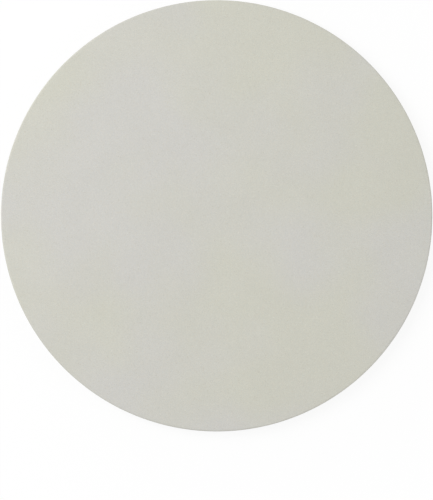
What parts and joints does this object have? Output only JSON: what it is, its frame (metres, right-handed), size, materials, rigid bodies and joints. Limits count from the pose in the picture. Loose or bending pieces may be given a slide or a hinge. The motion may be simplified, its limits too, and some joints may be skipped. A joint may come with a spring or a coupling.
{
  "type": "pizza stone",
  "caption": "Flat round baking stone with softly rounded rims, a plain unglazed plate that stores oven heat and bakes a pizza or flat bread laid on it.",
  "frame": {"origin": "centre of the resting face, the flat underside that lies on the oven rack", "axes": "+Z along the plate's round axis, up out of the baking face; X and Y are any two level directions, because the plate is round"},
  "size_m": [0.33, 0.33, 0.012],
  "materials": {
    "fired_cordierite": "matte"
  },
  "bodies": {
    "root": {"baking_stone": "fired_cordierite"}
  },
  "joints": []
}
